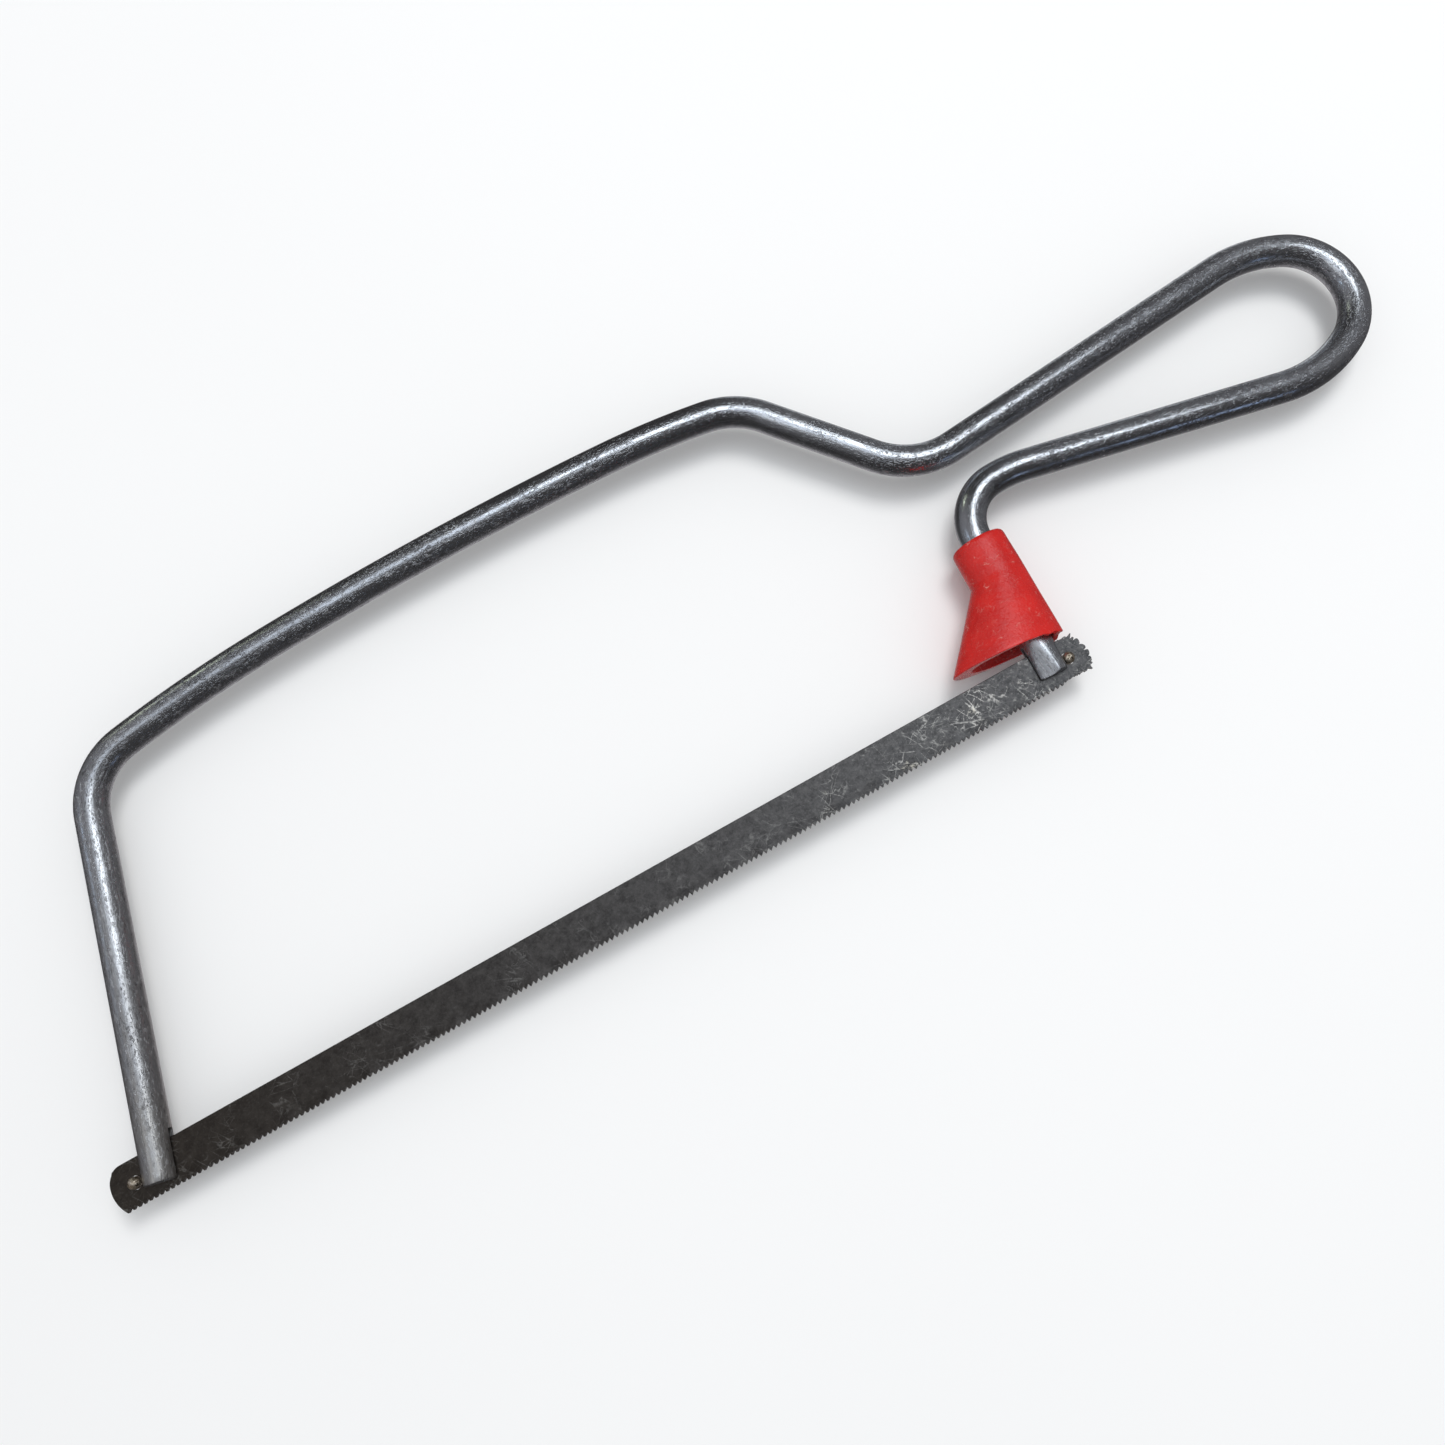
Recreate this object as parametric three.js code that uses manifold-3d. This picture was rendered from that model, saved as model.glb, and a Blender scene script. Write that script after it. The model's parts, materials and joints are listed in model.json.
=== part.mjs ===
// A junior hacksaw: a bow bent from one steel rod whose far end is looped into a handle, a pinned
// blade hooked over the bow's two legs, and a plastic finger guard threaded on the rear leg.
//
// Millimetres. The saw lies on its side: X runs along the blade towards the handle, Y from the teeth
// towards the arch, and Z out of the saw's plane. It is drawn with its mid-plane at Z = 0 and the tooth
// tips at Y = 0, and the whole saw is moved at the end so that the origin is the bottom centre of its box.
import * as THREE from "three";
import { mergeVertices } from "three/addons/utils/BufferGeometryUtils.js";
import { ParametricGeometry } from "three/addons/geometries/ParametricGeometry.js";
import Module from "manifold-3d";

const wasm = await Module();
wasm.setup();

const radians = THREE.MathUtils.degToRad;

// ---- Driving dimensions ------------------------------------------------------------------------

// The rod, and the two runs of its centreline that a bender would be given: straight lengths, and
// bends by centreline radius and angle, a left-hand bend positive.
const ROD_RADIUS = 2.4;
const ROD_SIDES = 24;
const BEND_STEP = radians(7.5); // the most that one facet of a bend turns
const BEND_FACET = 8; // and the longest that it may be
const FRONT_FOOT = { x: 5.1, y: 1.45, heading: radians(77.5) };
const CROWN_RADIUS = 560;
const HALF_CROWN = -2.95;
const REAR_LEG = 23.0;
const FRONT_RUNS = [
  straight(51.3), // front leg
  bend(10.4, -66.6), // front corner
  bend(200, -6.9), // rising side of the arch
  bend(CROWN_RADIUS, HALF_CROWN),
];
const REAR_RUNS = [
  bend(CROWN_RADIUS, HALF_CROWN),
  bend(135, -6.9), // falling side of the arch
  bend(12.6, -41.7), // rear corner
  straight(17.6), // drop to the handle
  bend(12.7, 55.9), // dip
  straight(50.5), // upper grip
  bend(21.3, -32.0), // handle loop, tightest at its end
  bend(9.7, -125.4),
  bend(19.9, -40.0),
  straight(41.4), // lower grip
  bend(21.0, 15.6), // elbow above the guard
  bend(7.5, 83.7),
  straight(REAR_LEG),
];
const FLEX_GAP = 0.4; // between the two halves of the arch, where the bow's springing is gathered

// The sawn slots in the ends of the legs, which the blade runs through, and the flat filed on the
// outside of the rear leg, where the rear pin bears.
const SLOT_WIDTH = 1.1;
const FRONT_SLOT = 6.6;
const REAR_SLOT = 5.6;
const PIN_SEAT_DEPTH = 0.55;
const PIN_SEAT_LENGTH = 4.2;

// The sloping flat that the press left on the rear leg's upper side, deepest at its end.
const PRESSED_FACING = radians(120); // from straight behind the leg, round over its upper side
const PRESSED_DEPTH = 0.56;
const PRESSED_LENGTH = 5.6;

// The blade: 32 teeth to the inch, with arched ends.
const BLADE_WIDTH = 6.2; // over the teeth
const BLADE_THICKNESS = 0.65;
const PIN_SPAN = 147.3;
const FRONT_PIN_X = 1.98;
const NOSE_RADIUS = 5.2;
const NOSE_PAST_PIN = 3.35; // from a pin's centre to that end of the blade
const TOOTH_PITCH = 25.4 / 32;
const TOOTH_DEPTH = 0.5;
const TOOTH_BACK = 0.72; // the share of a pitch that the sloping back of a tooth takes
const PIN_RADIUS = 0.9;
const PIN_LENGTH = 2.8;
const PIN_HOLE_RADIUS = 0.95;

// The guard: a collar around the leg, and a hollow skirt that flares forwards over the blade.
const COLLAR_RADIUS = 4.15;
const COLLAR_EDGE = 0.8; // rounding of the collar's top edge
const COLLAR_FORWARD = 0.15; // the collar's wall is a little thicker in front of the leg
const NECK_RADIUS = 4.23;
const NECK_AT = 6.1; // from the collar's top to where the skirt starts to flare
const GUARD_LENGTH = 17.55;
const BORE_RADIUS = 2.48;
const ROOF_AT = 7.6; // from the collar's top to the top of the skirt's hollow
const HOLLOW_RADIUS = 3.15;
const RIM_TILT = 0.045; // how much the rim rises for each millimetre forwards
const RIM_OUTER = { long: 8.8, wide: 5.5, forward: 4.56 };
const RIM_INNER = { long: 6.75, wide: 4.6, forward: 3.55 };
const GUARD_SIDES = 40;
const SKIRT_STEPS = 4;
const GUARD_ABOVE_FOOT = 22.75; // from the end of the rear leg to the top of the collar

const MATERIALS = {
  plated: new THREE.MeshStandardMaterial({ color: 0xa9adb2, roughness: 0.25, metalness: 1.0 }),
  blade: new THREE.MeshStandardMaterial({ color: 0x35332f, roughness: 0.45, metalness: 0.9 }),
  pin: new THREE.MeshStandardMaterial({ color: 0x9a8463, roughness: 0.4, metalness: 0.9 }),
  guard: new THREE.MeshStandardMaterial({ color: 0xc4211c, roughness: 0.45, metalness: 0.0 }),
};

// ---- Solids ------------------------------------------------------------------------------------

// A closed geometry as a solid that can be cut.
function solidOf(geometry) {
  const bare = geometry.clone();
  bare.deleteAttribute("normal");
  bare.deleteAttribute("uv");
  const merged = mergeVertices(bare, 1e-4);
  return new wasm.Manifold(
    new wasm.Mesh({
      numProp: 3,
      vertProperties: merged.attributes.position.array,
      triVerts: new Uint32Array(merged.index.array),
    }),
  );
}

function geometryOf(solid) {
  const mesh = solid.getMesh();
  const geometry = new THREE.BufferGeometry();
  geometry.setAttribute("position", new THREE.BufferAttribute(mesh.vertProperties, 3));
  geometry.setIndex(new THREE.BufferAttribute(mesh.triVerts, 1));
  geometry.computeVertexNormals();
  return geometry;
}

function named(name, geometry, material) {
  const mesh = new THREE.Mesh(geometry, material);
  mesh.name = name;
  return mesh;
}

// ---- The bow -----------------------------------------------------------------------------------

// A run of the rod: its length along the centreline, and how far it turns.
function straight(length) {
  return { length, turn: 0 };
}

function bend(radius, degrees) {
  const turn = radians(degrees);
  return { length: radius * Math.abs(turn), turn };
}

// Where the centreline is, and which way it heads, after a share of one run.
function along(from, run, share) {
  const turned = run.turn * share;
  const chordShare = turned === 0 ? 1 : Math.sin(turned / 2) / (turned / 2);
  const chord = run.length * share * chordShare;
  const aim = from.heading + turned / 2;
  return {
    x: from.x + chord * Math.cos(aim),
    y: from.y + chord * Math.sin(aim),
    heading: from.heading + turned,
  };
}

// The places where the rod's section is set down: each run's ends, and every few degrees of a bend.
function stationsAlong(start, runs) {
  const stations = [start];
  for (const run of runs) {
    const from = stations.at(-1);
    const facets = Math.ceil(Math.max(Math.abs(run.turn) / BEND_STEP, run.length / BEND_FACET));
    const steps = run.turn === 0 ? 1 : facets;
    for (let i = 1; i <= steps; i++) {
      stations.push(along(from, run, i / steps));
    }
  }
  return stations;
}

// The rod's centreline, read only at its stations.
class RodAxis extends THREE.Curve {
  constructor(stations) {
    super();
    this.stations = stations;
  }

  stationAt(u) {
    return this.stations[Math.round(u * (this.stations.length - 1))];
  }

  getPointAt(u, target = new THREE.Vector3()) {
    const { x, y } = this.stationAt(u);
    return target.set(x, y, 0);
  }

  getTangentAt(u, target = new THREE.Vector3()) {
    const { heading } = this.stationAt(u);
    return target.set(Math.cos(heading), Math.sin(heading), 0);
  }
}

function rodGeometry(stations) {
  const section = new THREE.Shape().absarc(0, 0, ROD_RADIUS, 0, 2 * Math.PI);
  return new THREE.ExtrudeGeometry(section, {
    steps: stations.length - 1,
    curveSegments: ROD_SIDES / 2,
    bevelEnabled: false,
    extrudePath: new RodAxis(stations),
  });
}

// The block that a slot takes out of a leg whose end is at foot; up is the way back into the leg.
function slotGeometry(foot, up, depth) {
  const past = 2; // how far the block stands out of the leg's end
  const across = 4 * ROD_RADIUS;
  const block = new THREE.BoxGeometry(depth + past, across, SLOT_WIDTH);
  block.translate((depth - past) / 2, 0, 0);
  block.rotateZ(up);
  block.translate(foot.x, foot.y, 0);
  return block;
}

// The block that files the pin's flat on the side of the rear leg away from the blade.
function pinSeatGeometry(foot, up) {
  const past = 2;
  const block = new THREE.BoxGeometry(PIN_SEAT_LENGTH + past, ROD_RADIUS, 4 * ROD_RADIUS);
  block.translate((PIN_SEAT_LENGTH - past) / 2, PIN_SEAT_DEPTH - 1.5 * ROD_RADIUS, 0);
  block.rotateZ(up);
  block.translate(foot.x, foot.y, 0);
  return block;
}

// The block that takes the sloping flat off the rear leg.
function pressedFlatGeometry(foot, up) {
  const slope = Math.atan(PRESSED_DEPTH / PRESSED_LENGTH);
  const block = new THREE.BoxGeometry(4 * PRESSED_LENGTH, ROD_RADIUS, 4 * ROD_RADIUS);
  block.translate(0, -ROD_RADIUS / 2, 0);
  block.rotateZ(-slope);
  block.translate(0, PRESSED_DEPTH - ROD_RADIUS, 0);
  block.rotateX(-PRESSED_FACING);
  block.rotateZ(up);
  block.translate(foot.x, foot.y, 0);
  return block;
}

// A block that takes half of the flex gap off the end of one half of the arch.
function gapGeometry(end, intoRod) {
  const block = new THREE.BoxGeometry(FLEX_GAP, 4 * ROD_RADIUS, 4 * ROD_RADIUS);
  block.rotateZ(intoRod);
  block.translate(end.x, end.y, 0);
  return block;
}

function bowHalf(stations, cuts) {
  let solid = solidOf(rodGeometry(stations));
  for (const cut of cuts) {
    solid = solid.subtract(solidOf(cut));
  }
  return geometryOf(solid);
}

// ---- The blade and its pins --------------------------------------------------------------------

function bladeGeometry() {
  const middle = BLADE_WIDTH / 2;
  const rearPinX = FRONT_PIN_X + PIN_SPAN;
  const noseAngle = Math.asin(middle / NOSE_RADIUS);
  const struckBehindPin = NOSE_RADIUS - NOSE_PAST_PIN;
  const frontStruck = FRONT_PIN_X + struckBehindPin;
  const rearStruck = rearPinX - struckBehindPin;
  const cornerInset = NOSE_RADIUS * Math.cos(noseAngle);
  const firstTip = frontStruck - cornerInset;
  const teeth = Math.floor((rearStruck + cornerInset - firstTip) / TOOTH_PITCH);
  const outline = new THREE.Shape();
  outline.moveTo(firstTip, 0);
  for (let i = 0; i < teeth; i++) {
    const tip = firstTip + i * TOOTH_PITCH;
    outline.lineTo(tip + TOOTH_BACK * TOOTH_PITCH, TOOTH_DEPTH);
    outline.lineTo(tip + TOOTH_PITCH, 0);
  }
  outline.absarc(rearStruck, middle, NOSE_RADIUS, -noseAngle, noseAngle);
  outline.absarc(frontStruck, middle, NOSE_RADIUS, Math.PI - noseAngle, Math.PI + noseAngle);
  for (const x of [FRONT_PIN_X, rearPinX]) {
    outline.holes.push(new THREE.Path().absarc(x, middle, PIN_HOLE_RADIUS, 0, 2 * Math.PI));
  }
  const blade = new THREE.ExtrudeGeometry(outline, {
    depth: BLADE_THICKNESS,
    curveSegments: 12,
    bevelEnabled: false,
  });
  return blade.translate(0, 0, -BLADE_THICKNESS / 2);
}

function pinMesh(name, x) {
  const pin = new THREE.CylinderGeometry(PIN_RADIUS, PIN_RADIUS, PIN_LENGTH, 24);
  const mesh = named(name, pin, MATERIALS.pin);
  mesh.rotation.x = Math.PI / 2;
  mesh.position.set(x, BLADE_WIDTH / 2, 0);
  return mesh;
}

// ---- The finger guard --------------------------------------------------------------------------

// One closed ring of the guard's surface, an ellipse across the leg: how far below the collar's top
// it lies, its half length fore and aft, its half width, and how far its middle is moved forwards.
function ring(below, long, wide = long, forward = 0, tilt = 0) {
  return { below, long, wide, forward, tilt };
}

// The ring a share of the way down to the rim, from a round one of a given radius.
function skirtRing(share, from, radius, rim, forward = 0) {
  return ring(
    THREE.MathUtils.lerp(from, GUARD_LENGTH, share),
    THREE.MathUtils.lerp(radius, rim.long, share),
    THREE.MathUtils.lerp(radius, rim.wide, share),
    THREE.MathUtils.lerp(forward, rim.forward, share),
    RIM_TILT * share,
  );
}

function guardRings() {
  const rings = [ring(0, BORE_RADIUS)];
  const edgeSteps = 3;
  for (let i = 0; i <= edgeSteps; i++) {
    const turn = (i / edgeSteps) * (Math.PI / 2);
    const radius = COLLAR_RADIUS - COLLAR_EDGE * (1 - Math.sin(turn));
    rings.push(ring(COLLAR_EDGE * (1 - Math.cos(turn)), radius, radius, COLLAR_FORWARD));
  }
  for (let i = 0; i <= SKIRT_STEPS; i++) {
    rings.push(skirtRing(i / SKIRT_STEPS, NECK_AT, NECK_RADIUS, RIM_OUTER, COLLAR_FORWARD));
  }
  for (let i = SKIRT_STEPS; i >= 0; i--) {
    rings.push(skirtRing(i / SKIRT_STEPS, ROOF_AT, HOLLOW_RADIUS, RIM_INNER));
  }
  rings.push(ring(ROOF_AT, BORE_RADIUS), rings[0]);
  return rings;
}

// The guard with its collar's top centre at the origin, the leg's foot down -Y and its front at -X.
function guardGeometry() {
  const rings = guardRings();
  const rear = RIM_OUTER.long - RIM_OUTER.forward;
  const surface = (u, v, target) => {
    const { below, long, wide, forward, tilt } = rings[Math.round(v * (rings.length - 1))];
    const angle = -2 * Math.PI * u; // clockwise from above, so that the surface faces out
    const ahead = forward + long * Math.cos(angle);
    target.set(-ahead, -below + tilt * (ahead + rear), wide * Math.sin(angle));
  };
  return new ParametricGeometry(surface, GUARD_SIDES, rings.length - 1);
}

// ---- Assembly ----------------------------------------------------------------------------------

const frontStations = stationsAlong(FRONT_FOOT, FRONT_RUNS);
const crown = frontStations.at(-1);
const rearStations = stationsAlong(crown, REAR_RUNS);
const rearFoot = rearStations.at(-1);
const rearUp = rearFoot.heading + Math.PI;

const bowFront = named(
  "bow_front",
  bowHalf(frontStations, [
    slotGeometry(FRONT_FOOT, FRONT_FOOT.heading, FRONT_SLOT),
    gapGeometry(crown, crown.heading),
  ]),
  MATERIALS.plated,
);
const bowRear = named(
  "bow_rear",
  bowHalf(rearStations, [
    slotGeometry(rearFoot, rearUp, REAR_SLOT),
    pinSeatGeometry(rearFoot, rearUp),
    pressedFlatGeometry(rearFoot, rearUp),
    gapGeometry(crown, crown.heading),
  ]),
  MATERIALS.plated,
);

const fingerGuard = named("finger_guard", guardGeometry(), MATERIALS.guard);
fingerGuard.position.set(
  rearFoot.x + GUARD_ABOVE_FOOT * Math.cos(rearUp),
  rearFoot.y + GUARD_ABOVE_FOOT * Math.sin(rearUp),
  0,
);
fingerGuard.rotation.z = rearUp - Math.PI / 2;

const saw = new THREE.Group();
saw.add(
  bowFront,
  bowRear,
  named("blade", bladeGeometry(), MATERIALS.blade),
  pinMesh("front_pin", FRONT_PIN_X),
  pinMesh("rear_pin", FRONT_PIN_X + PIN_SPAN),
  fingerGuard,
);

const box = new THREE.Box3().setFromObject(saw, true);
const middle = box.getCenter(new THREE.Vector3());
saw.position.set(-middle.x, -middle.y, -box.min.z);

export default saw;
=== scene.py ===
"""The looks of a junior hacksaw on its side: a plated rod bow, a pinned blade and a finger guard.

Everything is in metres in the row frame: X along the blade towards the handle, Y from the teeth towards
the arch, Z out of the saw's plane. Lengths are written in millimetres times MM.
"""
import json
import math
import random

import bmesh
import bpy
from mathutils import Matrix, Quaternion, Vector, noise


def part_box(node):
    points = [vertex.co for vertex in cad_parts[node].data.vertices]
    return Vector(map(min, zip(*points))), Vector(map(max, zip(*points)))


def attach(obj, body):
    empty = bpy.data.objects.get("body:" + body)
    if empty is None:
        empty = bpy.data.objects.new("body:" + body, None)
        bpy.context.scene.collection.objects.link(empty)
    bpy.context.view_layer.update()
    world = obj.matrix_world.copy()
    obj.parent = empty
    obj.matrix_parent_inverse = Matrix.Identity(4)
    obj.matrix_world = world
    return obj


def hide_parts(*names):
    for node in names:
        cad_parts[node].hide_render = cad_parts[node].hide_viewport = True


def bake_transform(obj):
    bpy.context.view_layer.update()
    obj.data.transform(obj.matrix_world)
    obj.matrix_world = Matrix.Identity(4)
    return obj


MM = 0.001

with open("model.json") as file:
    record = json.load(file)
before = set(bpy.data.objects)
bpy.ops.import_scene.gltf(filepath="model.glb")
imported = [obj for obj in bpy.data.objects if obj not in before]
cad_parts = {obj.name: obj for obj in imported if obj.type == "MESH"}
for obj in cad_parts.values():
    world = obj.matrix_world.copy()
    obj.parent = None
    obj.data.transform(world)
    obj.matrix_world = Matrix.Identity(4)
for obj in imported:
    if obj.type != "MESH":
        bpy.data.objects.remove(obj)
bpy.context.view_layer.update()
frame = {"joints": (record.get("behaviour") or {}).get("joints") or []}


def middle_of(node):
    low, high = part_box(node)
    return (low + high) / 2


JOINTS = {joint["name"]: joint for joint in frame["joints"]}
BLADE_LOW, BLADE_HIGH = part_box("blade")
GUARD_LOW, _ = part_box("finger_guard")
FRONT_PIN = middle_of("front_pin")
REAR_PIN = middle_of("rear_pin")
REAR_FOOT = Vector(JOINTS["guard_swivel"]["pos_m"])  # the end of the rear leg
REAR_UP = Vector(JOINTS["guard_swivel"]["axis"])  # up the rear leg


# ---- Dimensions ----------------------------------------------------------------------------------

# The rod's centreline as a bender's list: lengths, and bends by radius and degrees, left-hand positive.
ROD_RADIUS = 2.38 * MM  # a hair under the CAD rod, whose bends are faceted inside its true outline
FRONT_FOOT = FRONT_PIN + Vector((3.12, -1.65, 0)) * MM
FRONT_HEADING = math.radians(77.5)


def straight(length):
    return length * MM, 0.0


def bend(radius, degrees):
    turn = math.radians(degrees)
    return radius * MM * abs(turn), turn


ROD_RUNS = [
    straight(51.3),  # front leg
    bend(10.4, -66.6),  # front corner
    bend(200, -6.9),
    bend(560, -5.9),  # arch
    bend(135, -6.9),
    bend(12.6, -41.7),  # rear corner
    straight(17.6),  # drop to the handle
    bend(12.7, 55.9),
    straight(50.5),  # upper grip
    bend(21.3, -32.0),  # handle loop
    bend(9.7, -125.4),
    bend(19.9, -40.0),
    straight(41.4),  # lower grip
    bend(21.0, 15.6),  # elbow above the guard
    bend(7.5, 83.7),
    straight(23.0),  # rear leg
]
STATION_STEP = 1.1 * MM
STATION_TURN = math.radians(3)

# The rod's section: how many points each part of it has.
SIDE_POINTS = 6  # between a mouth of the slot and the height of the pin's seat
TOP_POINTS = 22  # over the top, between the two sides
GAP_POINTS = 5  # across each mouth of the slot
TOUCHING = 0.0001 * MM  # places along the rod closer than this are one

# The sawn slots and the rounding of the legs' ends.
SLOT_HALF = 0.55 * MM
FRONT_SLOT = 6.6 * MM
REAR_SLOT = 5.6 * MM
SLOT_CHAMFER = 0.09 * MM
END_ROUNDING = 0.35 * MM

# Flats on the rear leg's end: which way each faces round the rod from its left side over the top, how
# deep it is, how far it stays that deep, how far it then takes to run out, and how soft its edges are.
PIN_SEAT = {
    "facing": 0.0,
    "depth": 0.55 * MM,
    "length": 4.2 * MM,
    "run_out": 0.35 * MM,
    "edge": 0.0,
}
PRESSED_FLAT = {
    "facing": math.radians(120),
    "depth": 0.56 * MM,
    "length": 0.0,
    "run_out": 5.6 * MM,
    "edge": 0.12 * MM,
}

# The blade: its teeth, and its two ends, which are arcs struck from behind the pins.
TOOTH_PITCH = 25.4 / 32 * MM
TOOTH_DEPTH = 0.5 * MM
TOOTH_SHAPE = [(0, 0), (0.05, 0), (0.58, 0.8), (0.72, 1), (0.81, 0.86)]  # shares of pitch and depth
TOOTH_WEAR = 0.12  # the share of its depth that a tip may have lost
SET_THROW = 0.14 * MM
SET_TEETH = 8  # teeth in one wave of the set
BACK_EDGE = 0.07 * MM  # the rounding along the back
BLADE_ROWS = [0, 0.05, 0.1, 0.17, 0.25, 0.36, 0.5, 0.66, 0.82]  # shares of its height
NOSE_RADIUS = 5.2 * MM
NOSE_PAST_PIN = 3.35 * MM
NOSE_STEPS = 22
NOSE_HALF_TURN = math.asin((BLADE_HIGH.y - BLADE_LOW.y) / 2 / NOSE_RADIUS)
NOSE_ARC = 2 * NOSE_HALF_TURN * NOSE_RADIUS
SAME_PLACE = 1e-6  # columns closer than this are one

# The blade's worn rear end: how far it reaches along the teeth and the back, and its uneven bumps.
WORN_TEETH = 5.2 * MM
WORN_BACK = 2.8 * MM
BUMP_WIDTHS = (0.4, 1.25)  # narrowest and widest, in millimetres
NOTCH_DEPTHS = (0.2, 0.8)
BUMP_TOP_DEPTHS = (0.0, 0.3)
BUMP_STEPS = 8
WANDER = 0.45 * MM  # a slower unevenness under the bumps
WANDER_LENGTH = 2.1 * MM
SOUND_CORNER = 0.3 * MM  # the bumps fade out this close to the end's corners
WEAR_FADE = 1.5 * MM  # and this close to where the wear ends

# Cuts through the blade are made by a tool that reaches from below it to above it.
CUT_FROM = 3.5 * MM
CUT_HEIGHT = 4 * MM
CUT_OVERLAP = 0.01 * MM  # how far the tool stands out where nothing is worn away
CUT_CLEARANCE = 1.5 * MM  # how far outside the blade the tool's far side is

# The pins, and the domes of their worn heads.
PIN_HOLE_RADIUS = 0.95 * MM
PIN_RADIUS = 0.9 * MM
PIN_HALF = 1.4 * MM
PIN_DOME = 0.62 * MM
PIN_DOME_STEPS = 8
PIN_RIM = 0.12 * MM  # the height of the head's edge below its dome
PIN_SHANK_HALF = 0.3 * MM
PIN_SIDES = 40
PIN_WEAR = 0.05  # the share of its size that a head's surface goes in and out by
WELD = 2e-6  # vertices closer than this are joined

# The guard: its rings are measured in millimetres down from the collar's top, and forwards from the
# leg's axis.
GUARD_ABOVE_FOOT = 22.75 * MM
RIM_BELOW = 17.55
RIM_LONG = 8.8
RIM_FORWARD = 4.56
RIM_TILT = 0.045
ROOF_BELOW = 7.6
BORE_RADIUS = 2.48
FLASH_FROM = 17.05
FLASH_DROP = 0.55
GUARD_SIDES = 144


# ---- Meshes --------------------------------------------------------------------------------------


def mesh_object(name, vertices, faces, sharp_degrees=35, places=None):
    """A smooth-shaded object with its faces turned outwards and sharp edges kept crisp.

    places gives each vertex a place in the material's own space, as the attribute rod_place."""
    used = sorted({i for face in faces for i in face})
    renumbered = {old: new for new, old in enumerate(used)}
    mesh = bpy.data.meshes.new(name)
    mesh.from_pydata([vertices[i] for i in used], [], [[renumbered[i] for i in face] for face in faces])
    if places:
        attribute = mesh.attributes.new("rod_place", "FLOAT_VECTOR", "POINT")
        attribute.data.foreach_set("vector", [c for i in used for c in places[i]])
    work = bmesh.new()
    work.from_mesh(mesh)
    bmesh.ops.recalc_face_normals(work, faces=work.faces)
    work.to_mesh(mesh)
    work.free()
    mesh.shade_smooth()
    mesh.set_sharp_from_angle(angle=math.radians(sharp_degrees))
    made = bpy.data.objects.new(name, mesh)
    bpy.context.scene.collection.objects.link(made)
    return made


def smoothstep(low, high, value):
    share = min(1.0, max(0.0, (value - low) / (high - low)))
    return share * share * (3 - 2 * share)


def spread(low, high, count):
    """count evenly spaced values, from low up to but not including high."""
    return [low + (high - low) * i / count for i in range(count)]


# ---- The rod -------------------------------------------------------------------------------------


def rod_stations():
    """Distance along the rod, place and heading of its centreline, from the front foot to the rear."""
    stations = [(0.0, FRONT_FOOT, FRONT_HEADING)]
    total = sum(length for length, _ in ROD_RUNS)
    ends = [END_ROUNDING * share for share in (0.08, 0.3, 0.6, 1.0)]
    seat_top = PIN_SEAT["length"] + PIN_SEAT["run_out"]
    wanted = [*ends, FRONT_SLOT] + [total - d for d in (*ends, REAR_SLOT, PIN_SEAT["length"], seat_top)]
    for length, turn in ROD_RUNS:
        begun, start, heading = stations[-1]
        steps = math.ceil(max(length / STATION_STEP, abs(turn) / STATION_TURN))
        shares = [i / steps for i in range(1, steps + 1)]
        shares += [(d - begun) / length for d in wanted if begun < d < begun + length]
        for share in sorted(set(shares)):
            half = turn * share / 2
            chord = length * share * (math.sin(half) / half if half else 1.0)
            aim = heading + half
            place = start + chord * Vector((math.cos(aim), math.sin(aim), 0))
            stations.append((begun + length * share, place, heading + turn * share))
    return stations


def section_angles(radius):
    """Angles round the rod from its left side over the top, and how many are in each half's arc.

    The halves are above and below the slot; the gaps between them are its mouths."""
    mouth = math.asin(SLOT_HALF / radius)
    chamfered = math.asin((SLOT_HALF + SLOT_CHAMFER) / radius)
    seat = math.acos(1 - PIN_SEAT["depth"] / ROD_RADIUS)
    arc = [mouth, *spread(chamfered, seat, SIDE_POINTS), *spread(seat, math.pi - seat, TOP_POINTS)]
    arc += spread(math.pi - seat, math.pi - chamfered, SIDE_POINTS)
    arc += [math.pi - chamfered, math.pi - mouth]
    gap = spread(math.pi - mouth, math.pi + mouth, GAP_POINTS + 1)[1:]
    return [*arc, *gap, *(a + math.pi for a in arc), *(a + math.pi for a in gap)], len(arc)


def halves(arc):
    """The places of the upper and the lower half's points in a section, and how many points it has."""
    return range(arc), range(arc + GAP_POINTS, 2 * arc + GAP_POINTS), 2 * (arc + GAP_POINTS)


def filed(across, out, cut, from_end):
    """A point of the section after one of the flats has been made on the rod's end."""
    depth = cut["depth"] * min(1.0, max(0.0, 1 - (from_end - cut["length"]) / cut["run_out"]))
    facing = Vector((math.cos(cut["facing"]), math.sin(cut["facing"])))
    proud = Vector((across, out)).dot(facing) - (ROD_RADIUS - depth)
    edge = min(cut["edge"], depth)
    proud = (proud + edge) ** 2 / (4 * edge) if abs(proud) < edge else max(0.0, proud)
    return across - proud * facing.x, out - proud * facing.y


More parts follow.
